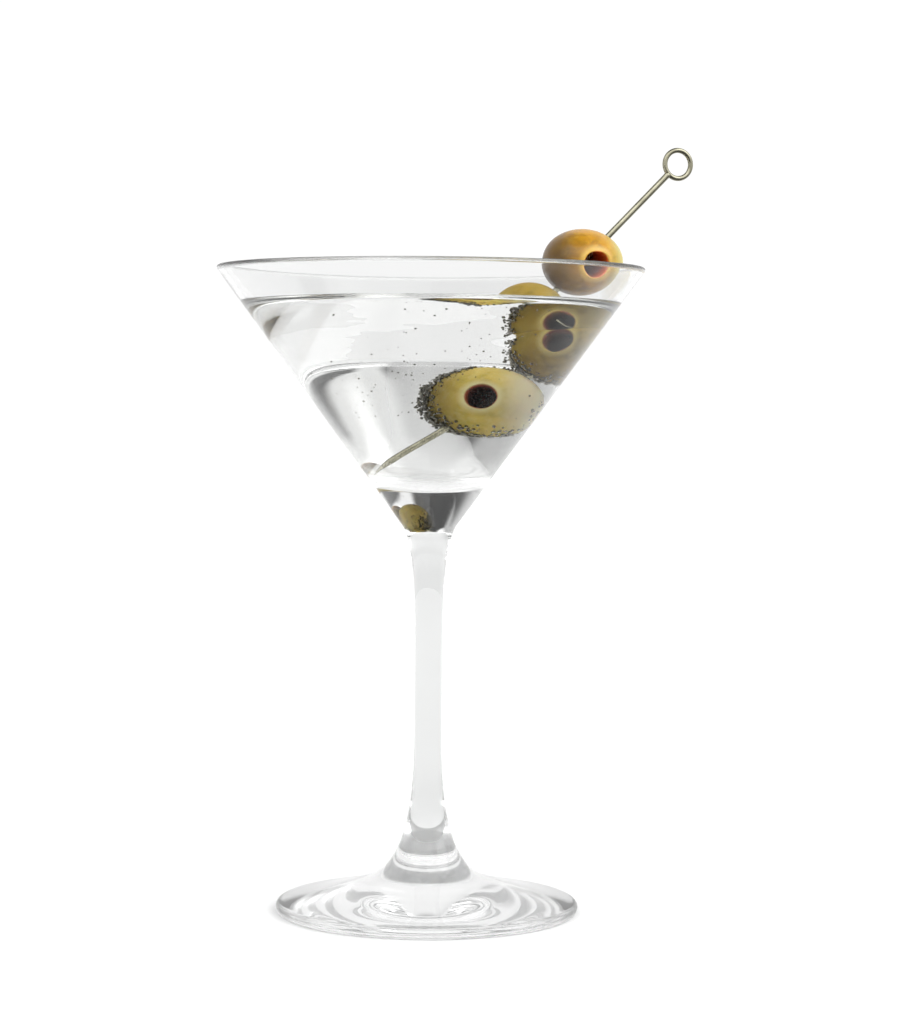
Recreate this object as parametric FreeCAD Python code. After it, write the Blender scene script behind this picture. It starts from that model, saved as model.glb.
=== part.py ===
"""Stemmed cocktail glass with its drink and three pitted olives on a ringed pick.

Frame: origin at the centre of the foot's underside, +Z up along the glass's
axis.  The pick lies in a plane parallel to XZ and leans up towards +X.
All sizes in millimetres.
"""
import FreeCAD, Part
import math
import os

V = FreeCAD.Vector

# ---- glass: bowl -----------------------------------------------------------
rim_radius = 59.8           # outermost radius of the lip
rim_height = 181.1          # top of the lip above the foot's underside
wall = 1.6                  # wall of the bowl, square to its surface
bowl_base_radius = 7.3      # where the cone meets the neck of the stem
bowl_base_height = 108.3
bowl_bottom_radius = 30.6   # rounding of the inside at the bottom of the bowl

# ---- glass: stem -----------------------------------------------------------
stem_radius = 3.8           # straight middle of the drawn stem
stem_low = 50.0             # the straight part runs from here
stem_high = 76.0            # to here
neck_pull = 16.0            # how far the stem's line carries up into the neck
neck_lean_deg = 24.0        # slope of the neck where it meets the bowl
neck_reach = 6.9            # how far that slope carries down
root_pull = 20.0            # how far the stem's line carries down to the foot

# ---- glass: foot -----------------------------------------------------------
foot_radius = 42.6
foot_edge = 1.5             # radius of the rounded edge
foot_edge_slope_deg = 6.0   # rise of the top face just inside the edge
foot_edge_reach = 8.0       # how far that slope carries inwards
hub_radius = 17.0           # the knee between foot and stem
hub_height = 9.2
hub_slope_deg = 19.0
hub_reach_out = 8.5
hub_reach_in = 11.6

# ---- drink -----------------------------------------------------------------
fill_below_rim = 10.1       # level of the drink under the top of the lip

# ---- pick ------------------------------------------------------------------
pick_length = 124.5         # point to the centre of the ring
pick_radius = 0.9
pick_point = 6.0            # length of the tapered point
pick_point_end = 0.12       # radius left at the very tip
pick_side = 1.6             # offset of the pick's plane from the glass's axis
pick_tip_reach = 12.8       # how far the tip lies from the axis, towards -X
pick_rest_gap = 0.15        # between the tip and the bottom of the bowl
ring_radius = 4.05          # centre line of the ring
ring_wire = 0.75            # radius of its wire

# ---- olives ----------------------------------------------------------------
# half sizes: across, up, and along the bore left by the stone
top_across, top_up, top_along = 11.7, 9.6, 11.7
middle_across, middle_up, middle_along = 11.6, 10.3, 11.6
bottom_across, bottom_up, bottom_along = 12.0, 10.7, 11.8
# direction of the open end of the bore: turn from -Y about Z, and its dip
top_turn_deg, top_dip_deg = -0.5, 5.0
middle_turn_deg, middle_dip_deg = -20.0, -4.5
bottom_turn_deg, bottom_dip_deg = -21.0, 1.5
bore_radius = 3.5           # hole left by the stone
bore_flare = 0.9            # rounding of its mouth
bore_end = 0.45             # closed end, as a share of the half length behind the centre
top_place = 83.1            # centre of the top olive, from the tip of the pick
upper_gap = 1.2             # between the top and middle olives along the pick
lower_gap = 2.0             # between the middle and bottom olives
olive_wall_gap = 0.15       # between the top olive and the bowl it leans on
pierce_clearance = 0.05     # round the pick, through each olive

lean_steps = 90             # facing directions tried where the top olive leans


# ---- derived: the bowl's straight wall and its rounded bottom ----------------
lip = wall / 2.0
lip_r, lip_z = rim_radius - lip, rim_height - lip
dr, dz = lip_r - bowl_base_radius, lip_z - bowl_base_height
half_angle = math.atan2(dr, dz) + math.asin(lip / math.hypot(dr, dz))
sin_w, cos_w, tan_w = math.sin(half_angle), math.cos(half_angle), math.tan(half_angle)
lip_out = (lip_r + lip * cos_w, lip_z - lip * sin_w)
lip_in = (lip_r - lip * cos_w, lip_z + lip * sin_w)
cone_apex = lip_in[1] - lip_in[0] / tan_w
bottom_centre = cone_apex + bowl_bottom_radius / sin_w
bottom_low = bottom_centre - bowl_bottom_radius
tangent = (bowl_bottom_radius * cos_w, bottom_centre - bowl_bottom_radius * sin_w)
level = rim_height - fill_below_rim


def inner_radius(z):
    """Radius of the inside of the bowl at height z."""
    if z >= tangent[1]:
        return (z - cone_apex) * tan_w
    drop = bottom_centre - z
    return math.sqrt(max(bowl_bottom_radius ** 2 - drop ** 2, 0.0))


def at(p):
    return V(p[0], 0, p[1])


def line(p, q):
    return Part.makeLine(at(p), at(q))


def arc(p, mid, q):
    return Part.Arc(at(p), at(mid), at(q)).toShape()


def bezier(*points):
    curve = Part.BezierCurve()
    curve.setPoles([at(p) for p in points])
    return curve.toShape()


def step_from(p, length, deg):
    """Point at a length from p, in a direction deg above the +r direction."""
    a = math.radians(deg)
    return (p[0] + length * math.cos(a), p[1] + length * math.sin(a))


def lathe(edges):
    """Solid of revolution about Z from an outline that starts and ends on the axis."""
    skin = Part.Wire(edges).revolve(V(0, 0, 0), V(0, 0, 1), 360)
    solid = Part.Solid(Part.Shell(skin.Faces))
    if solid.Volume < 0:
        solid.reverse()
    return solid


def bottom_arc_edges(top, top_z):
    """Inside outline from the axis up the rounded bottom and the straight wall."""
    half = 0.5 * (math.pi / 2 - half_angle)
    mid = (bowl_bottom_radius * math.sin(half),
           bottom_centre - bowl_bottom_radius * math.cos(half))
    return [arc((0, bottom_low), mid, tangent), line(tangent, (top, top_z))]


# ---- glass -------------------------------------------------------------------
edge_centre = (foot_radius - foot_edge, foot_edge)
edge_low = (edge_centre[0], 0.0)
edge_high = step_from(edge_centre, foot_edge, 90.0 - foot_edge_slope_deg)
hub = (hub_radius, hub_height)
root = (stem_radius, stem_low)
neck = (stem_radius, stem_high)
base = (bowl_base_radius, bowl_base_height)

outline = [
    line((0, 0), edge_low),
    arc(edge_low, (foot_radius, foot_edge), edge_high),
    bezier(edge_high,
           step_from(edge_high, foot_edge_reach, 180.0 - foot_edge_slope_deg),
           step_from(hub, hub_reach_out, -hub_slope_deg),
           hub),
    bezier(hub,
           step_from(hub, hub_reach_in, 180.0 - hub_slope_deg),
           (stem_radius, stem_low - root_pull),
           root),
    line(root, neck),
    bezier(neck,
           (stem_radius, stem_high + neck_pull),
           step_from(base, neck_reach, 270.0 - neck_lean_deg),
           base),
    line(base, lip_out),
    arc(lip_out, step_from((lip_r, lip_z), lip, 90.0 - math.degrees(half_angle)), lip_in),
] + bottom_arc_edges(*lip_in)[::-1]
glass = lathe(outline)

# ---- where the pick rests ----------------------------------------------------
tip_from_axis = math.hypot(pick_tip_reach, pick_side)
if tip_from_axis <= tangent[0]:
    tip_z = bottom_centre - math.sqrt(bowl_bottom_radius ** 2 - tip_from_axis ** 2)
else:
    tip_z = cone_apex + tip_from_axis / tan_w
tip = V(-pick_tip_reach, pick_side, tip_z + pick_rest_gap)


class Olive:
    """Ellipsoid with a blind bore; its own axes are across, up and along the bore."""

    def __init__(self, across, up, along_bore, turn_deg, dip_deg):
        self.half = (across, up, along_bore)
        turn, dip = math.radians(turn_deg), math.radians(dip_deg)
        self.bore = V(math.sin(turn) * math.cos(dip),
                      -math.cos(turn) * math.cos(dip),
                      -math.sin(dip))
        self.across = self.bore.cross(V(0, 0, 1)).normalize() * -1.0
        self.up = self.bore.cross(self.across).normalize()
        if self.up.z < 0:
            self.up = self.up * -1.0
            self.across = self.across * -1.0
        self.centre = None

    def reach(self, n):
        """How far the surface stands out from the centre along the unit vector n."""
        a, b, c = self.half
        return math.sqrt((a * self.across.dot(n)) ** 2 + (b * self.up.dot(n)) ** 2
                         + (c * self.bore.dot(n)) ** 2)

    def whole(self):
        """The olive with its bore, before the pick goes through."""
        a, b, c = self.half
        unit = 10.0
        m = FreeCAD.Matrix()
        m.scale(a / unit, b / unit, c / unit)
        body = Part.makeSphere(unit).transformGeometry(m)
        body = Part.Solid(Part.Shell(body.Faces))
        end = -bore_end * c
        mouth = c * math.sqrt(1.0 - (bore_radius / min(a, b)) ** 2)
        flare_r = bore_radius + bore_flare
        cutter = Part.makeCylinder(bore_radius, 2 * c, V(0, 0, end), V(0, 0, 1))
        cutter = cutter.fuse(Part.makeSphere(bore_radius, V(0, 0, end)))
        funnel = Part.makeCone(bore_radius, flare_r + bore_flare, 2 * bore_flare,
                               V(0, 0, mouth - bore_flare), V(0, 0, 1))
        body = body.cut(cutter.fuse(funnel))
        x, y, z = self.across, self.up, self.bore
        if x.cross(y).dot(z) < 0:
            x = x * -1.0
        place = FreeCAD.Matrix(x.x, y.x, z.x, self.centre.x,
                               x.y, y.y, z.y, self.centre.y,
                               x.z, y.z, z.z, self.centre.z,
                               0, 0, 0, 1)
        body.Placement = FreeCAD.Placement(place)
        return body


top = Olive(top_across, top_up, top_along, top_turn_deg, top_dip_deg)
middle = Olive(middle_across, middle_up, middle_along, middle_turn_deg, middle_dip_deg)
bottom = Olive(bottom_across, bottom_up, bottom_along, bottom_turn_deg, bottom_dip_deg)


def direction(lean):
    return V(math.cos(lean), 0, math.sin(lean))


def wall_gap(lean):
    """Gap between the top olive and the bowl's wall or lip, with the pick at this rise."""
    c = tip + direction(lean) * top_place
    r = math.hypot(c.x, c.y)
    widest = None
    for i in range(lean_steps + 1):
        # facing directions from square to the wall round to straight down on the lip
        a = half_angle + (math.pi / 2 - half_angle) * i / lean_steps
        out = V(c.x / r * math.cos(a), c.y / r * math.cos(a), -math.sin(a))
        gap = (lip_r - r) * math.cos(a) - (lip_z - c.z) * math.sin(a) - lip - top.reach(out)
        widest = gap if widest is None else max(widest, gap)
    return widest


# the pick tips over until the top olive leans on the bowl
flat, upright = 0.0, math.pi / 2
for _ in range(60):
    lean = 0.5 * (flat + upright)
    if wall_gap(lean) > olive_wall_gap:
        upright = lean
    else:
        flat = lean
along = direction(lean)
ring_centre = tip + along * pick_length
middle_place = top_place - top.reach(along) - upper_gap - middle.reach(along)
bottom_place = middle_place - middle.reach(along) - lower_gap - bottom.reach(along)
for olive, place in ((top, top_place), (middle, middle_place), (bottom, bottom_place)):
    olive.centre = tip + along * place


# ---- pick --------------------------------------------------------------------
def shaft(extra):
    """Round bar on the pick's line, from the end of its point to the ring."""
    length = pick_length - ring_radius - pick_point
    return Part.makeCylinder(pick_radius + extra, length, tip + along * pick_point, along)


pick = Part.makeCone(pick_point_end, pick_radius, pick_point, tip, along)
pick = pick.fuse(shaft(0.0))
pick = pick.fuse(Part.makeTorus(ring_radius, ring_wire, ring_centre, V(0, 1, 0)))
pick = pick.removeSplitter()

# ---- olives ------------------------------------------------------------------
whole = {"olive_top": top.whole(), "olive_middle": middle.whole(),
         "olive_bottom": bottom.whole()}
pierce = shaft(pierce_clearance)
olives = {name: body.cut(pierce) for name, body in whole.items()}

# ---- drink -------------------------------------------------------------------
level_radius = inner_radius(level)
drink = lathe(bottom_arc_edges(level_radius, level) + [
    line((level_radius, level), (0, level)),
])
for body in whole.values():
    drink = drink.cut(body)
drink = drink.cut(pick)

# ---- files -------------------------------------------------------------------
os.makedirs("parts", exist_ok=True)
nodes = {"glass": glass, "drink": drink, "pick": pick}
nodes.update(olives)
for name, shape in nodes.items():
    solids = shape.Solids
    print(name, "solids", len(solids), "valid", shape.isValid(),
          "volume_cm3", round(shape.Volume / 1000.0, 3), "box", shape.BoundBox)
    if len(solids) != 1:
        raise SystemExit(name + " is not one solid")
    solids[0].exportStep("parts/" + name + ".step")
print("level", round(level, 3), "level radius", round(level_radius, 3),
      "bottom of the drink", round(bottom_low, 3))
print("lean", round(math.degrees(lean), 3), "gap to the bowl", round(wall_gap(lean), 3),
      "tip", tip, "ring", ring_centre)
for name, olive in (("top", top), ("middle", middle), ("bottom", bottom)):
    print(name, "centre", olive.centre, "across", olive.across, "up", olive.up,
          "bore", olive.bore, "reach along the pick", round(olive.reach(along), 3))
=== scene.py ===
import math
import random

import bmesh
import bpy
from mathutils import Matrix, Vector


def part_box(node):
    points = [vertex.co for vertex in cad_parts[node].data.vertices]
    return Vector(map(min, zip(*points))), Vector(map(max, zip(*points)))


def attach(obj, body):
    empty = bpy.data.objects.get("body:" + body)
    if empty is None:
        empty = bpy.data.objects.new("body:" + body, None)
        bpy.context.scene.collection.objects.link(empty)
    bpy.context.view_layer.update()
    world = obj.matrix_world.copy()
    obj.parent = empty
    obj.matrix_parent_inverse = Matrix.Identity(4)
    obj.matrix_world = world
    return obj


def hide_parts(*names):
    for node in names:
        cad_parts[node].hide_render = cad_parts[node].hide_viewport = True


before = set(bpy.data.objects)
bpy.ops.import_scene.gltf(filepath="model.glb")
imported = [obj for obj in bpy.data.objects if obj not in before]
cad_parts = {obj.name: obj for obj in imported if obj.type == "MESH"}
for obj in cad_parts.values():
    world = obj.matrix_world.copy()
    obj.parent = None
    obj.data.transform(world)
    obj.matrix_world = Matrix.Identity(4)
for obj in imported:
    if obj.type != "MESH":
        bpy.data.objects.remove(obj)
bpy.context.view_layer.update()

MM = 0.001

# ---- sizes, in millimetres, as the CAD model has them ------------------------
RIM_R, RIM_Z, WALL = 59.79, 181.1, 1.6      # rim a hair inside the CAD box
BASE_R, BASE_Z = 7.3, 108.3
BOTTOM_R = 30.6
STEM_R, STEM_LOW, STEM_HIGH = 3.8, 50.0, 76.0
FOOT_R, FOOT_EDGE = 42.6, 1.5
HUB = (17.0, 9.2)
PICK_R, PICK_POINT, PICK_END = 0.9, 6.0, 0.12
RING_R, RING_WIRE = 4.05, 0.75
BORE_R, BORE_FLARE = 3.5, 0.9
OLIVES = {                       # half sizes; turn and dip of the bore in degrees
    "olive_top": ((11.7, 9.6, 11.7), -0.5, 5.0),
    "olive_middle": ((11.6, 10.3, 11.6), -20.0, -4.5),
    "olive_bottom": ((12.0, 10.7, 11.8), -21.0, 1.5),
}
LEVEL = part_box("drink")[1][2] / MM


def centre_of(node):
    lo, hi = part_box(node)
    return (Vector(lo) + Vector(hi)) / 2 / MM


# ---- shared helpers ----------------------------------------------------------
def new_object(name, verts, faces, smooth=True):
    mesh = bpy.data.meshes.new(name)
    mesh.from_pydata([tuple(c * MM for c in v) for v in verts], [], faces)
    mesh.update()
    if smooth:
        mesh.shade_smooth()
    obj = bpy.data.objects.new(name, mesh)
    bpy.context.scene.collection.objects.link(obj)
    return obj


def faces_between(rows, turns):
    """Faces that join each row of points to the next; a row of one point is a tip."""
    faces = []
    for a, b in zip(rows, rows[1:]):
        for k in range(turns):
            j = (k + 1) % turns
            if len(a) == 1:
                faces.append((a[0], b[j], b[k]))
            elif len(b) == 1:
                faces.append((a[k], a[j], b[0]))
            else:
                faces.append((a[k], a[j], b[j], b[k]))
    return faces


def lathe(name, profile, slot_of=None, turns=256):
    """Closed surface of revolution about Z; the profile starts and ends on the axis."""
    verts, rows = [], []
    for r, z in profile:
        if r < 1e-6:
            rows.append([len(verts)])
            verts.append((0.0, 0.0, z))
        else:
            start = len(verts)
            verts += [(r * math.cos(2 * math.pi * k / turns),
                       r * math.sin(2 * math.pi * k / turns), z) for k in range(turns)]
            rows.append(list(range(start, start + turns)))
    obj = new_object(name, verts, faces_between(rows, turns))
    if slot_of:
        for i, (p, q) in enumerate(zip(profile, profile[1:])):
            for face in obj.data.polygons[i * turns:(i + 1) * turns]:
                face.material_index = slot_of(p, q)
    face_outwards(obj)
    return obj


def face_outwards(obj):
    bm = bmesh.new()
    bm.from_mesh(obj.data)
    bmesh.ops.recalc_face_normals(bm, faces=bm.faces)
    if bm.calc_volume(signed=True) < 0:
        bmesh.ops.reverse_faces(bm, faces=bm.faces)
    bm.to_mesh(obj.data)
    bm.free()


def bezier(p0, p1, p2, p3, n):
    out = []
    for i in range(n + 1):
        t = i / n
        w = ((1 - t) ** 3, 3 * t * (1 - t) ** 2, 3 * t * t * (1 - t), t ** 3)
        out.append(tuple(sum(w[k] * p[c] for k, p in enumerate((p0, p1, p2, p3)))
                         for c in (0, 1)))
    return out


def arc(centre, radius, from_deg, to_deg, n):
    return [(centre[0] + radius * math.cos(math.radians(from_deg + (to_deg - from_deg) * i / n)),
             centre[1] + radius * math.sin(math.radians(from_deg + (to_deg - from_deg) * i / n)))
            for i in range(n + 1)]


def line(p, q, n=1):
    """Points along a line, with one close to each end so that smooth shading stays flat."""
    length = math.hypot(q[0] - p[0], q[1] - p[1])
    e = min(0.3 / max(length, 1e-6), 0.2)
    return [(p[0] + (q[0] - p[0]) * t, p[1] + (q[1] - p[1]) * t)
            for t in [0.0, e] + [i / n for i in range(1, n)] + [1.0 - e, 1.0]]


def step_from(p, length, deg):
    a = math.radians(deg)
    return (p[0] + length * math.cos(a), p[1] + length * math.sin(a))


def join_profile(*parts):
    out = []
    for part in parts:
        for p in part:
            if not out or math.hypot(p[0] - out[-1][0], p[1] - out[-1][1]) > 1e-4:
                out.append(p)
    return out


# ---- materials ---------------------------------------------------------------
class Nodes:
    """Small wrapper that makes and links shader nodes."""

    def __init__(self, name):
        self.mat = bpy.data.materials.new(name)
        self.mat.use_nodes = True
        self.tree = self.mat.node_tree
        self.tree.nodes.clear()
        self.out = self.add("ShaderNodeOutputMaterial")
        self.bsdf = self.add("ShaderNodeBsdfPrincipled")
        self.link(self.bsdf.outputs[0], self.out.inputs[0])
        self.coord = self.add("ShaderNodeTexCoord").outputs["Object"]

    def add(self, kind, **values):
        node = self.tree.nodes.new(kind)
        for key, value in values.items():
            setattr(node, key, value)
        return node

    def link(self, a, b):
        self.tree.links.new(a, b)

    def set(self, **values):
        for key, value in values.items():
            self.bsdf.inputs[key.replace("_", " ")].default_value = value

    def noise(self, scale, detail=2.0, rough=0.5, stretch=(1, 1, 1), distortion=0.0):
        mapping = self.add("ShaderNodeMapping")
        mapping.inputs["Scale"].default_value = stretch
        self.link(self.coord, mapping.inputs["Vector"])
        node = self.add("ShaderNodeTexNoise")
        node.inputs["Scale"].default_value = scale
        node.inputs["Detail"].default_value = detail
        node.inputs["Roughness"].default_value = rough
        node.inputs["Distortion"].default_value = distortion
        self.link(mapping.outputs[0], node.inputs["Vector"])
        return node.outputs["Fac"]

    def ramp(self, value, low, high, to_low=0.0, to_high=1.0, smooth=True):
        node = self.add("ShaderNodeMapRange")
        node.interpolation_type = "SMOOTHSTEP" if smooth else "LINEAR"
        for key, v in (("From Min", low), ("From Max", high),
                       ("To Min", to_low), ("To Max", to_high)):
            node.inputs[key].default_value = v
        self.link(value, node.inputs["Value"])
        return node.outputs["Result"]

    def math(self, op, a, b=None):
        node = self.add("ShaderNodeMath", operation=op)
        for i, v in enumerate((a, b)):
            if v is None:
                continue
            if isinstance(v, (int, float)):
                node.inputs[i].default_value = v
            else:
                self.link(v, node.inputs[i])
        return node.outputs[0]

    def mix(self, fac, a, b):
        node = self.add("ShaderNodeMix", data_type="RGBA")
        for key, v in ((0, fac), (6, a), (7, b)):
            if isinstance(v, (int, float)):
                node.inputs[key].default_value = v
            elif isinstance(v, tuple):
                node.inputs[key].default_value = (*v, 1.0)
            else:
                self.link(v, node.inputs[key])
        return node.outputs[2]

    def bump(self, height, strength, distance):
        node = self.add("ShaderNodeBump")
        node.inputs["Strength"].default_value = strength
        node.inputs["Distance"].default_value = distance
        self.link(height, node.inputs["Height"])
        self.link(node.outputs[0], self.bsdf.inputs["Normal"])


def srgb(hex_code):
    out = []
    for i in (0, 2, 4):
        c = int(hex_code[i:i + 2], 16) / 255
        out.append(c / 12.92 if c <= 0.04045 else ((c + 0.055) / 1.055) ** 2.4)
    return tuple(out)


# Reflection of a surface: where glass and drink meet, it is far weaker than in air.
WETTED = 0.07
DRY = 0.6


def glass_material(name, shine):
    n = Nodes(name)
    n.set(IOR=1.5)
    n.bsdf.inputs["Transmission Weight"].default_value = 1.0
    split = n.add("ShaderNodeSeparateXYZ")
    n.link(n.coord, split.inputs[0])
    z = split.outputs[2]
    # thick glass takes more light than the thin bowl: foot, stem, bowl
    # the fire-polished lip scatters light softly
    n.link(n.ramp(z, (RIM_Z - 0.9) * MM, (RIM_Z - 0.6) * MM, 0.0, 0.35), n.bsdf.inputs["Roughness"])
    low = n.mix(n.ramp(z, 0.008, 0.030), (0.892, 0.896, 0.894), (0.765, 0.772, 0.768))
    n.link(n.mix(n.ramp(z, 0.095, 0.118), low, (0.905, 0.908, 0.906)), n.bsdf.inputs["Base Color"])
    n.bsdf.inputs["Specular Tint"].default_value = (shine, shine, shine, 1)
    n.bump(n.noise(28.0, 2.0, 0.5, (1, 1, 0.4)), 0.10, 0.0005)
    return n.mat


def drink_material(name, shine):
    n = Nodes(name)
    n.set(Base_Color=(0.955, 0.957, 0.952, 1), Roughness=0.0, IOR=1.345)
    n.bsdf.inputs["Transmission Weight"].default_value = 1.0
    n.bsdf.inputs["Specular Tint"].default_value = (shine, shine, shine, 1)
    n.bump(n.noise(40.0, 2.0, 0.5), 0.06, 0.0004)
    return n.mat


def bubble_material():
    n = Nodes("air_in_drink")
    n.tree.nodes.remove(n.bsdf)
    n.bsdf = n.add("ShaderNodeBsdfGlass")
    # painted shade: the dark grey colour darkens the bubbles beyond what clear air in the drink
    # would show
    n.bsdf.inputs["Color"].default_value = (0.42, 0.41, 0.37, 1)
    n.bsdf.inputs["Roughness"].default_value = 0.0
    n.bsdf.inputs["IOR"].default_value = 1 / 1.345
    n.link(n.bsdf.outputs[0], n.out.inputs[0])
    n.bump(n.noise(900.0, 1.0), 0.1, 0.00002)
    return n.mat


def steel_material():
    n = Nodes("polished_steel")
    n.set(Metallic=1.0)
    streak = n.noise(1500.0, 3.0, 0.6, (1, 1, 0.04))
    fine = n.noise(220.0, 2.0)
    n.link(n.mix(n.ramp(fine, 0.3, 0.7), srgb("8C8976"), srgb("A5A28E")),
           n.bsdf.inputs["Base Color"])
    n.link(n.ramp(streak, 0.3, 0.7, 0.16, 0.30), n.bsdf.inputs["Roughness"])
    n.bump(streak, 0.15, 0.00003)
    return n.mat


def olive_material(name, skin, skin_dark, skin_light, lip, pit, pit_painted_shade, submerged, left, right):
    n = Nodes(name)
    n.set(IOR=1.06 if submerged else 1.42)
    n.bsdf.inputs["Subsurface Weight"].default_value = 0.25
    n.bsdf.inputs["Subsurface Radius"].default_value = (1.0, 0.55, 0.15)
    n.bsdf.inputs["Subsurface Scale"].default_value = 0.003
    n.bsdf.inputs["Coat Weight"].default_value = 0.0 if submerged else 0.2
    n.bsdf.inputs["Coat Roughness"].default_value = 0.12
    split = n.add("ShaderNodeSeparateXYZ")
    n.link(n.coord, split.inputs[0])
    x, y, z = split.outputs
    rho = n.math("SQRT", n.math("ADD", n.math("MULTIPLY", x, x), n.math("MULTIPLY", y, y)))
    patches = n.noise(160.0, 3.0, 0.55, distortion=0.4)
    mottle = n.noise(520.0, 3.0, 0.6)
    specks = n.noise(2600.0, 2.0, 0.5)
    base = n.mix(n.ramp(patches, 0.35, 0.62), skin_dark, skin)
    base = n.mix(n.math("MULTIPLY", n.ramp(mottle, 0.45, 0.72), 0.45), base, skin_light)
    base = n.mix(n.math("MULTIPLY", n.ramp(specks, 0.62, 0.75), 0.25), base, skin_light)
    # painted shade and light: the skin is darkened towards its left side and paled towards its
    # right, standing in for a key light from the right
    for near, far, (colour, amount) in ((-0.0015, -0.0105, left), (0.002, 0.0105, right)):
        base = n.mix(n.math("MULTIPLY", n.ramp(x, near, far), amount), base, colour)
    front = n.ramp(z, 0.006, 0.0085)
    ring = n.math("MULTIPLY", front,
                  n.ramp(rho, (BORE_R + BORE_FLARE + 1.6) * MM, (BORE_R + 0.5) * MM))
    base = n.mix(n.math("MULTIPLY", ring, 0.85), base, lip)
    inside = n.math("MULTIPLY", n.ramp(rho, (BORE_R + 0.55) * MM, (BORE_R + 0.05) * MM),
                    n.ramp(z, -0.0106, -0.0101))
    # painted shade: the flesh inside the bore darkens from the mouth inwards
    flesh = n.mix(n.ramp(z, 0.004, 0.0095), pit_painted_shade, pit)
    base = n.mix(inside, base, flesh)
    n.link(base, n.bsdf.inputs["Base Color"])
    n.link(n.ramp(mottle, 0.3, 0.7, 0.30, 0.46), n.bsdf.inputs["Roughness"])
    n.bump(n.math("ADD", n.math("MULTIPLY", mottle, 0.6), n.math("MULTIPLY", specks, 0.15)),
           0.35, 0.0003)
    return n.mat


def floor_material():
    n = Nodes("pale_floor")
    n.set(Roughness=0.9)
    n.link(n.mix(n.noise(30.0, 3.0), (0.90, 0.90, 0.90), (0.93, 0.93, 0.93)),
           n.bsdf.inputs["Base Color"])
    return n.mat


# ---- glass -------------------------------------------------------------------
lip = WALL / 2
lip_c = (RIM_R - lip, RIM_Z - lip)
run, rise = lip_c[0] - BASE_R, lip_c[1] - BASE_Z
half_angle = math.atan2(run, rise) + math.asin(lip / math.hypot(run, rise))
sin_w, cos_w, tan_w = math.sin(half_angle), math.cos(half_angle), math.tan(half_angle)
slope_deg = 90.0 - math.degrees(half_angle)
lip_out = (lip_c[0] + lip * cos_w, lip_c[1] - lip * sin_w)
lip_in = (lip_c[0] - lip * cos_w, lip_c[1] + lip * sin_w)
cone_apex = lip_in[1] - lip_in[0] / tan_w
bottom_c = cone_apex + BOTTOM_R / sin_w
tangent = (BOTTOM_R * cos_w, bottom_c - BOTTOM_R * sin_w)


def inner_radius(z):
    return (z - cone_apex) * tan_w


edge_c = (FOOT_R - FOOT_EDGE, FOOT_EDGE)
edge_high = step_from(edge_c, FOOT_EDGE, 84.0)
neck, root, base = (STEM_R, STEM_HIGH), (STEM_R, STEM_LOW), (BASE_R, BASE_Z)
profile = join_profile(
    [(0.0, 0.0)], line((0.5, 0.0), (edge_c[0], 0.0), 6),
    arc(edge_c, FOOT_EDGE, -90, 84, 14),
    bezier(edge_high, step_from(edge_high, 8.0, 174.0), step_from(HUB, 8.5, -19.0), HUB, 26),
    bezier(HUB, step_from(HUB, 11.6, 161.0), (STEM_R, STEM_LOW - 20.0), root, 34),
    line(root, neck, 4),
    bezier(neck, (STEM_R, STEM_HIGH + 16.0), step_from(base, 6.9, 246.0), base, 24),
    line(base, lip_out, 24),
    arc(lip_c, lip, slope_deg - 90, slope_deg + 90, 14),
    line(lip_in, tangent, 24),
    arc((0.0, bottom_c), BOTTOM_R, -math.degrees(half_angle), -90, 30)[:-1],
    [(0.0, bottom_c - BOTTOM_R)],
)


def on_inside(p):
    if p[1] < tangent[1]:
        return abs(math.hypot(p[0], p[1] - bottom_c) - BOTTOM_R) < 0.02
    return abs(p[0] - inner_radius(p[1])) < 0.02


glass = lathe("glass_bowl_stem_foot", profile,
              lambda p, q: int(on_inside(p) and on_inside(q) and max(p[1], q[1]) < LEVEL + 1.0))
glass.data.materials.append(glass_material("clear_glass", DRY))
glass.data.materials.append(glass_material("wetted_glass", WETTED))

# ---- drink: reaches just into the wall, and creeps up where it wets ------------
INTO_WALL = 0.25
CREEP, CREEP_REACH = 1.1, 1.3                # up the wall
OLIVE_CREEP, OLIVE_CREEP_REACH = 0.9, 1.2    # up the middle olive
RING_STEP = 0.75
mid_c = centre_of("olive_middle")
mid_half = OLIVES["olive_middle"][0]


def drink_top(x, y):
    r = math.hypot(x, y)
    wall_r = inner_radius(LEVEL)
    up = CREEP * math.exp(-max(wall_r + CREEP * tan_w - r, 0.0) / CREEP_REACH)
    h = math.sqrt(max(1.0 - ((LEVEL - mid_c.z) / mid_half[1]) ** 2, 0.0))
    q = math.hypot((x - mid_c.x) / (mid_half[0] * h), (y - mid_c.y) / (mid_half[2] * h))
    away = (q - 1.0) * mid_half[0] * h
    return LEVEL + up + OLIVE_CREEP * math.exp(-max(away, 0.0) / OLIVE_CREEP_REACH)


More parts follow.
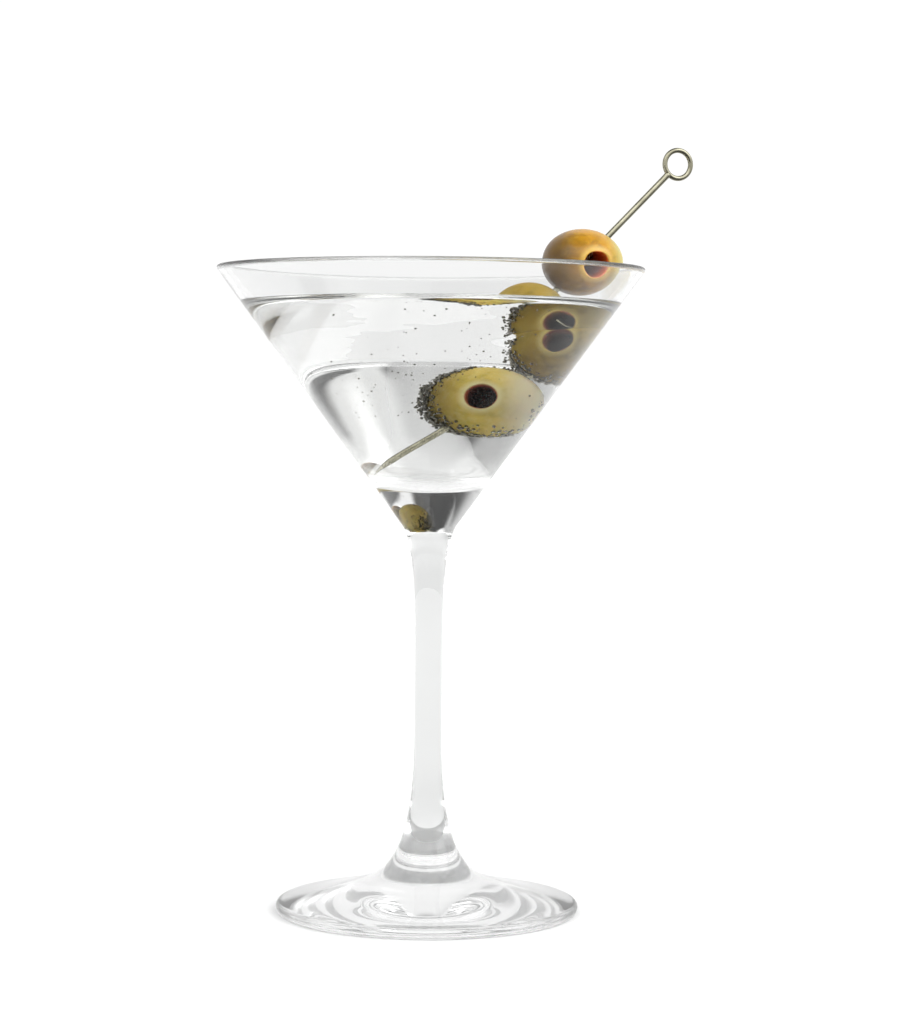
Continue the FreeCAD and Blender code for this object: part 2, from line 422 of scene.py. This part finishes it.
def make_drink(turns=256):
    out = (INTO_WALL * cos_w, -INTO_WALL * sin_w)
    top_r = inner_radius(LEVEL + CREEP)
    low = arc((0.0, bottom_c), BOTTOM_R + INTO_WALL, -90, -math.degrees(half_angle), 30)[1:]
    wall_top = (top_r + out[0], LEVEL + CREEP + out[1])
    side = line(low[-1], wall_top, 20)[1:]
    body = [(0.0, bottom_c - BOTTOM_R - INTO_WALL)] + low + side
    # closely spaced rings where the surface creeps up the wall, then even ones
    radii = [top_r - d for d in (0.0, 0.3, 0.6, 0.9, 1.3, 1.8, 2.4, 3.2, 4.2, 5.5, 7.0)]
    while radii[-1] - RING_STEP > RING_STEP:
        radii.append(radii[-1] - RING_STEP)
    verts, rows = [], []
    for r, z in body:
        if r < 1e-6:
            rows.append([len(verts)])
            verts.append((0.0, 0.0, z))
            continue
        rows.append(list(range(len(verts), len(verts) + turns)))
        verts += [(r * math.cos(2 * math.pi * k / turns),
                   r * math.sin(2 * math.pi * k / turns), z) for k in range(turns)]
    for r in radii:
        rows.append(list(range(len(verts), len(verts) + turns)))
        for k in range(turns):
            x, y = r * math.cos(2 * math.pi * k / turns), r * math.sin(2 * math.pi * k / turns)
            verts.append((x, y, drink_top(x, y)))
    rows.append([len(verts)])
    verts.append((0.0, 0.0, drink_top(0.0, 0.0)))
    obj = new_object("drink_liquid", verts, faces_between(rows, turns))
    for face in obj.data.polygons[:(len(body) - 1) * turns]:
        face.material_index = 1
    face_outwards(obj)
    return obj


drink = make_drink()
drink.data.materials.append(drink_material("drink_surface", 1.0))
drink.data.materials.append(drink_material("drink_at_wall", WETTED))

# ---- pick ----------------------------------------------------------------------
pick_lo, pick_hi = (Vector(v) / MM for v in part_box("pick"))
ring_c = Vector((pick_hi.x - RING_R - RING_WIRE, (pick_lo.y + pick_hi.y) / 2,
                 pick_hi.z - RING_R - RING_WIRE))
# the olives are threaded on the line through the ring's centre
low_end = Vector((pick_lo.x + PICK_END, ring_c.y, pick_lo.z + PICK_END))
along = (ring_c - low_end).normalized()


def make_pick():
    bm = bmesh.new()
    length = (ring_c - low_end).length
    side = Vector((0, 1, 0))
    up = along.cross(side).normalized()
    stations = [(0.0, 0.02), (0.03, PICK_END * 0.8), (0.1, PICK_END)]
    stations += [(PICK_POINT * t, PICK_END + (PICK_R - PICK_END) * t ** 0.85)
                 for t in (0.1, 0.25, 0.4, 0.55, 0.7, 0.82, 0.92)]
    stations += [(PICK_POINT, PICK_R), (PICK_POINT + 1.0, PICK_R)]
    stop = length - RING_R
    stations += [(PICK_POINT + 1.0 + (stop - PICK_POINT - 4.0) * i / 30, PICK_R)
                 for i in range(1, 31)]
    # the weld to the ring
    stations += [(stop - 1.6, PICK_R), (stop - 0.9, PICK_R * 1.06),
                 (stop - 0.4, PICK_R * 1.1), (stop + 0.15, PICK_R * 0.9)]
    rows = []
    for s, r in stations:
        c = low_end + along * s
        rows.append([bm.verts.new((c + (side * math.cos(a) + up * math.sin(a)) * r) * MM)
                     for a in (2 * math.pi * k / 32 for k in range(32))])
    for a, b in zip(rows, rows[1:]):
        for k in range(32):
            j = (k + 1) % 32
            bm.faces.new((a[k], a[j], b[j], b[k]))
    bm.faces.new(rows[0])
    bm.faces.new(list(reversed(rows[-1])))
    n, m = 96, 28
    grid = []
    for i in range(n):
        t = 2 * math.pi * i / n
        radial = Vector((math.cos(t), 0, math.sin(t)))
        grid.append([bm.verts.new((ring_c + radial * (RING_R + RING_WIRE * math.cos(p))
                                   + Vector((0, 1, 0)) * RING_WIRE * math.sin(p)) * MM)
                     for p in (2 * math.pi * k / m for k in range(m))])
    for i in range(n):
        a, b = grid[i], grid[(i + 1) % n]
        for k in range(m):
            j = (k + 1) % m
            bm.faces.new((a[k], a[j], b[j], b[k]))
    bmesh.ops.recalc_face_normals(bm, faces=bm.faces)
    mesh = bpy.data.meshes.new("ringed_pick")
    bm.to_mesh(mesh)
    bm.free()
    mesh.shade_smooth()
    obj = bpy.data.objects.new("ringed_pick", mesh)
    bpy.context.scene.collection.objects.link(obj)
    return obj


pick = make_pick()
pick.data.materials.append(steel_material())


# ---- olives ----------------------------------------------------------------------
def axes_of(turn_deg, dip_deg):
    turn, dip = math.radians(turn_deg), math.radians(dip_deg)
    bore = Vector((math.sin(turn) * math.cos(dip), -math.cos(turn) * math.cos(dip), -math.sin(dip)))
    across = Vector((0, 0, 1)).cross(bore).normalized()
    up = bore.cross(across).normalized()
    return across, up, bore


def make_olive(name, node, seed, material):
    half, turn, dip = OLIVES[node]
    a, b, c = half
    across, up, bore = axes_of(turn, dip)
    rng = random.Random(seed)
    lumps = [(Vector((rng.gauss(0, 1), rng.gauss(0, 1), rng.gauss(0, 1))).normalized(),
              rng.uniform(1.4, 3.0), rng.uniform(0, 6.28), rng.uniform(0.05, 0.14))
             for _ in range(10)]
    wobble = [(k, rng.uniform(0, 6.28), rng.uniform(0.3, 1.0)) for k in (2, 3, 5)]

    def hole(phi):
        return 1.0 + 0.035 * sum(w * math.cos(k * phi + p) for k, p, w in wobble)

    def dent(v):
        return sum(amp * math.sin(freq * v.dot(d) + ph) for d, freq, ph, amp in lumps) * 0.6

    turns = 96
    back_rows, lip_rows, bore_rows, end_rows = 56, 10, 18, 8
    bore_first = 1 + back_rows + lip_rows
    mean = (a + b) / 2
    theta_lip = math.asin((BORE_R + BORE_FLARE) / mean)
    verts, rows = [(0, 0, -c)], [[0]]

    def add_row(points):
        rows.append(list(range(len(verts), len(verts) + turns)))
        verts.extend(points)

    for i in range(1, back_rows + 1):
        theta = math.pi + (theta_lip - math.pi) * i / back_rows
        pts = []
        for k in range(turns):
            phi = 2 * math.pi * k / turns
            u = Vector((math.sin(theta) * math.cos(phi), math.sin(theta) * math.sin(phi),
                        math.cos(theta)))
            near = max(0.0, 1.0 - (theta - theta_lip) / 0.5)
            grow = 1.0 + (hole(phi) - 1.0) * near
            d = dent(u) * (1.0 - near) + 0.22 * near * math.sin(math.pi * min(near, 1.0))
            v = Vector((a * u.x * grow, b * u.y * grow, c * u.z)) + u * d
            pts.append(v)
        add_row(pts)
    rim = [Vector(v) for v in verts[-turns:]]
    for i in range(1, lip_rows + 1):
        t = i / lip_rows * math.pi / 2
        pts = []
        for k in range(turns):
            phi = 2 * math.pi * k / turns
            r0 = math.hypot(rim[k].x, rim[k].y)
            r1 = BORE_R * hole(phi)
            r = r1 + (r0 - r1) * (1 - math.sin(t)) if r0 > r1 else r0
            z = rim[k].z + 0.28 * math.sin(2 * t) - 1.1 * (1 - math.cos(t))
            pts.append(Vector((r * math.cos(phi), r * math.sin(phi), z)))
        add_row(pts)
    z_lip = sum(v[2] for v in verts[-turns:]) / turns
    end = -0.45 * c
    for i in range(1, bore_rows + 1):
        s = i / bore_rows
        pts = []
        for k in range(turns):
            phi = 2 * math.pi * k / turns
            z0 = verts[rows[bore_first][k]][2] if len(rows) > bore_first else z_lip
            rr = (BORE_R * (hole(phi) + (1.0 - hole(phi)) * s)
                  * (1 + 0.03 * math.sin(3 * phi + 9 * s)))
            pts.append(Vector((rr * math.cos(phi), rr * math.sin(phi),
                               z_lip + (end - z_lip) * s + (z0 - z_lip) * (1 - s))))
        add_row(pts)
    for i in range(1, end_rows + 1):
        t = i / (end_rows + 1) * math.pi / 2
        add_row([Vector((BORE_R * math.cos(t) * math.cos(2 * math.pi * k / turns),
                         BORE_R * math.cos(t) * math.sin(2 * math.pi * k / turns),
                         end - BORE_R * math.sin(t))) for k in range(turns)])
    rows.append([len(verts)])
    verts.append((0, 0, end - BORE_R))
    obj = new_object(name, verts, faces_between(rows, turns))
    face_outwards(obj)
    place = Matrix((across, up, bore)).transposed().to_4x4()
    place.translation = olive_centres[node] * MM
    obj.matrix_world = place
    obj.data.materials.append(material)
    return obj


def on_pick(node):
    """Centre of an olive: the point of the pick's line nearest its box's middle."""
    c = centre_of(node)
    return low_end + along * (c - low_end).dot(along)


olive_centres = {node: on_pick(node) for node in OLIVES}
# the last two pairs of each olive are painted shade on the left side and painted light on the right
# side, with their strengths
golden = olive_material("olive_golden", srgb("C08A16"), srgb("966C14"), srgb("D4A634"),
                        srgb("DDB85A"), srgb("D0642A"), srgb("B04C1E"), False,
                        (srgb("4A3610"), 0.85), (srgb("D6CC62"), 0.7))
amber = olive_material("olive_amber", srgb("A08428"), srgb("7C6A22"), srgb("B69C46"),
                       srgb("C8B670"), srgb("8C5844"), srgb("543228"), True,
                       (srgb("9C8C50"), 0.3), (srgb("C4B67C"), 0.4))
yellow = olive_material("olive_yellow", srgb("EACF6E"), srgb("D0B85C"), srgb("F2E29C"),
                        srgb("ECE2AC"), srgb("B4664A"), srgb("6E3426"), True,
                        (srgb("6E5836"), 0.6), (srgb("F4EAC6"), 0.85))
olives = {
    "olive_top": make_olive("garnish_top", "olive_top", 3, golden),
    "olive_middle": make_olive("garnish_middle", "olive_middle", 5, amber),
    "olive_bottom": make_olive("garnish_bottom", "olive_bottom", 8, yellow),
}


# ---- bubbles ---------------------------------------------------------------------
def make_bubbles(name, spots):
    """One mesh of small round bubbles; spots are (centre, radius) in millimetres."""
    ball = bmesh.new()
    bmesh.ops.create_icosphere(ball, subdivisions=2, radius=1.0)
    bv = [v.co.copy() for v in ball.verts]
    bf = [tuple(v.index for v in f.verts) for f in ball.faces]
    ball.free()
    verts, faces = [], []
    for c, r in spots:
        start = len(verts)
        verts += [c + v * r for v in bv]
        faces += [tuple(start + i for i in f) for f in bf]
    obj = new_object(name, verts, faces)
    obj.data.materials.append(bubbles)
    return obj


def clinging(node, count, seed, weight):
    """Bubbles on an olive; weight(n) says how thickly they sit where the skin faces n."""
    rng = random.Random(seed)
    half, turn, dip = OLIVES[node]
    axes = axes_of(turn, dip)
    c = olive_centres[node]
    spots, tries = [], 0
    while len(spots) < count and tries < count * 60:
        tries += 1
        u = Vector((rng.gauss(0, 1), rng.gauss(0, 1), rng.gauss(0, 1))).normalized()
        if u.z > 0.88:
            continue
        local = Vector((u.x * half[0], u.y * half[1], u.z * half[2]))
        n_local = Vector((u.x / half[0], u.y / half[1], u.z / half[2])).normalized()
        n = axes[0] * n_local.x + axes[1] * n_local.y + axes[2] * n_local.z
        w = weight(n)
        if rng.random() > w:
            continue
        r = 0.13 + 0.32 * rng.random() ** 2.2
        lift = r * 0.8 + rng.random() ** 1.2 * 2.6 * w * max(0.12, n.dot(to_left))
        p = c + axes[0] * local.x + axes[1] * local.y + axes[2] * local.z + n * lift
        if p.z > LEVEL - 0.6 or math.hypot(p.x, p.y) > inner_radius(p.z) - 0.8:
            continue
        spots.append((p, r))
    return spots


bubbles = bubble_material()
VIEW_AZ = math.radians(19.4)                       # the side the camera stands on
to_viewer = Vector((-math.sin(VIEW_AZ), -math.cos(VIEW_AZ), 0))
to_left = Vector((-math.cos(VIEW_AZ), math.sin(VIEW_AZ), 0))


def edge_on(n):
    """1 where the skin is seen edge on, 0 where it faces the viewer, a little behind."""
    facing = n.dot(to_viewer)
    return max(0.0 if facing > 0 else 0.05, 1.0 - abs(facing) / 0.62)


def low_weight(n):
    side = n.dot(to_left)
    thick = 0.06 + 0.95 * max(0.0, side) ** 1.1 + 0.16 * max(0.0, -n.z)
    return min(1.0, thick) * edge_on(n) * (0.25 if side < -0.35 else 1.0)


def mid_weight(n):
    side = n.dot(to_left)
    thick = 0.05 + 0.70 * max(0.0, side) + 0.30 * max(0.0, -n.z)
    return min(1.0, thick) * edge_on(n) * (0.4 if side < -0.5 else 1.0)


spots_low = clinging("olive_bottom", 800, 11, low_weight)
spots_low_b = clinging("olive_bottom", 800, 13, low_weight)
spots_mid = clinging("olive_middle", 700, 12, mid_weight)
rng = random.Random(21)
pit = []
for node, count in (("olive_bottom", 70), ("olive_middle", 12)):
    ax = axes_of(*OLIVES[node][1:])
    for _ in range(count):
        t, rr = rng.uniform(0, 2 * math.pi), BORE_R * math.sqrt(rng.random()) * 0.85
        deep = rng.uniform(5.0, 9.5)
        p = olive_centres[node] + ax[0] * rr * math.cos(t) + ax[1] * rr * math.sin(t) + ax[2] * deep
        pit.append((p, rng.uniform(0.12, 0.3)))
free = []
for _ in range(110):
    p = Vector((rng.uniform(-22, 22), rng.uniform(-24, 24), rng.uniform(146, LEVEL - 3)))
    if math.hypot(p.x, p.y) < inner_radius(p.z) - 4:
        free.append((p, rng.uniform(0.08, 0.28)))
parts_bubbles = [make_bubbles("bubbles_low", spots_low),
                 make_bubbles("bubbles_low_b", spots_low_b),
                 make_bubbles("bubbles_mid", spots_mid),
                 make_bubbles("bubbles_loose", pit + free)]

# ---- frame -----------------------------------------------------------------------
for piece, node, slot in ((glass, "glass", "glass"),
                          (drink, "drink", "drink"),
                          (pick, "pick", "pick"),
                          (olives["olive_top"], "olive_top", "olive"),
                          (olives["olive_middle"], "olive_middle", "olive"),
                          (olives["olive_bottom"], "olive_bottom", "olive")):
    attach(piece, "root")
    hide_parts(node)
for piece in parts_bubbles:
    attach(piece, "root")

# ---- floor, light, camera ----------------------------------------------------------
FLOOR_HALF, FLOOR_Z = 6000, -0.02
floor = new_object("floor", [(-FLOOR_HALF, -FLOOR_HALF, FLOOR_Z), (FLOOR_HALF, -FLOOR_HALF, FLOOR_Z),
                             (FLOOR_HALF, FLOOR_HALF, FLOOR_Z), (-FLOOR_HALF, FLOOR_HALF, FLOOR_Z)],
                   [(0, 1, 2, 3)], smooth=False)
floor.data.materials.append(floor_material())
floor.visible_glossy = False                       # mirrored rays see the world's lower half


KEY_LIGHT, FRONT_LIGHT, DARK_PART = 2.6, 1.7, 0.86


def make_world():
    world = bpy.data.worlds.new("studio")
    bpy.context.scene.world = world
    world.use_nodes = True
    tree = world.node_tree
    tree.nodes.clear()
    out = tree.nodes.new("ShaderNodeOutputWorld")
    back = tree.nodes.new("ShaderNodeBackground")
    tree.links.new(back.outputs[0], out.inputs[0])
    direction = tree.nodes.new("ShaderNodeTexCoord").outputs["Generated"]

    def toward(v):
        node = tree.nodes.new("ShaderNodeVectorMath")
        node.operation = "DOT_PRODUCT"
        tree.links.new(direction, node.inputs[0])
        node.inputs[1].default_value = Vector(v).normalized()
        return node.outputs["Value"]

    def smooth(value, low, high, to_low, to_high):
        node = tree.nodes.new("ShaderNodeMapRange")
        node.interpolation_type = "SMOOTHSTEP"
        for key, v in (("From Min", low), ("From Max", high),
                       ("To Min", to_low), ("To Max", to_high)):
            node.inputs[key].default_value = v
        tree.links.new(value, node.inputs["Value"])
        return node.outputs["Result"]

    def combine(op, a, b):
        node = tree.nodes.new("ShaderNodeMath")
        node.operation = op
        for i, v in enumerate((a, b)):
            if isinstance(v, (int, float)):
                node.inputs[i].default_value = v
            else:
                tree.links.new(v, node.inputs[i])
        return node.outputs[0]

    right = -to_left
    ahead = -to_viewer
    up = toward((0, 0, 1))
    turn = combine("ARCTAN2", toward(right), toward(ahead))        # 0 ahead, + to the right
    deg = math.radians

    def rises(low, high):
        return smooth(up, math.sin(deg(low)), math.sin(deg(high)), 0.0, 1.0)

    def between(a, b, soft):
        return combine("MULTIPLY", smooth(turn, deg(a - soft), deg(a + soft), 0.0, 1.0),
                       smooth(turn, deg(b - soft), deg(b + soft), 1.0, 0.0))

    # the left is dimmer, but only well above the backdrop that a level view shows
    left_dim = combine("MULTIPLY", smooth(turn, deg(-80), deg(-12), 0.46, 0.0), rises(12, 22))
    side = combine("SUBTRACT", 1.04, left_dim)
    gap = combine("MULTIPLY", between(63, 79, 3),
                  combine("MULTIPLY", rises(44, 49), combine("SUBTRACT", 1.0, rises(63, 68))))
    over_back = combine("MULTIPLY", rises(50, 62), between(-84, 60, 3))
    over_left = combine("MULTIPLY", rises(60, 68), smooth(turn, deg(-84), deg(-78), 1.0, 0.0))
    zenith = rises(72, 78)
    front_box = combine("MULTIPLY", combine("SUBTRACT", 1.0, between(-110, 150, 14)),
                        combine("MULTIPLY", rises(14, 32), combine("SUBTRACT", 1.0, rises(58, 70))))
    below = combine("MULTIPLY", combine("SUBTRACT", 1.0, rises(-10, -4)),
                    combine("SUBTRACT", 1.0, between(-80, 80, 25)))
    steep = combine("MULTIPLY", combine("SUBTRACT", 1.0, rises(-62, -40)), 0.5)
    dark = gap
    for part in (over_back, over_left, zenith, below, steep):
        dark = combine("MAXIMUM", dark, part)
    key = combine("MULTIPLY", between(95, 140, 12),
                  combine("MULTIPLY", rises(8, 25), combine("SUBTRACT", 1.0, rises(55, 68))))
    left_over = combine("SUBTRACT", 1.0, combine("MULTIPLY", dark, DARK_PART))
    strength = combine("ADD", combine("MULTIPLY", side, left_over),
                       combine("ADD", combine("MULTIPLY", key, KEY_LIGHT),
                               combine("MULTIPLY", front_box, FRONT_LIGHT)))
    tree.links.new(strength, back.inputs["Strength"])
    back.inputs["Color"].default_value = (1, 1, 1, 1)


make_world()

camera = bpy.data.objects.new("camera", bpy.data.cameras.new("camera"))
bpy.context.scene.collection.objects.link(camera)
bpy.context.scene.camera = camera
camera.data.sensor_width = 36.0
camera.data.lens = 94.2
camera.data.clip_start, camera.data.clip_end = 0.05, 40.0
DISTANCE, HEIGHT = 0.7428, 0.1456
PITCH, YAW, ROLL = math.radians(2.42), math.radians(0.444), math.radians(0.42)
ahead = -to_viewer
aim = ((ahead * math.cos(YAW) - to_left * math.sin(YAW)) * math.cos(PITCH)
       + Vector((0, 0, -math.sin(PITCH))))
camera.location = to_viewer * DISTANCE + Vector((0, 0, HEIGHT))
camera.rotation_mode = "QUATERNION"
camera.rotation_quaternion = (aim.to_track_quat("-Z", "Y")
                              @ Matrix.Rotation(ROLL, 3, "Z").to_quaternion())

scene = bpy.context.scene
scene.view_settings.view_transform = "Standard"
scene.cycles.max_bounces = 28
scene.cycles.transmission_bounces = 24
scene.cycles.glossy_bounces = 12
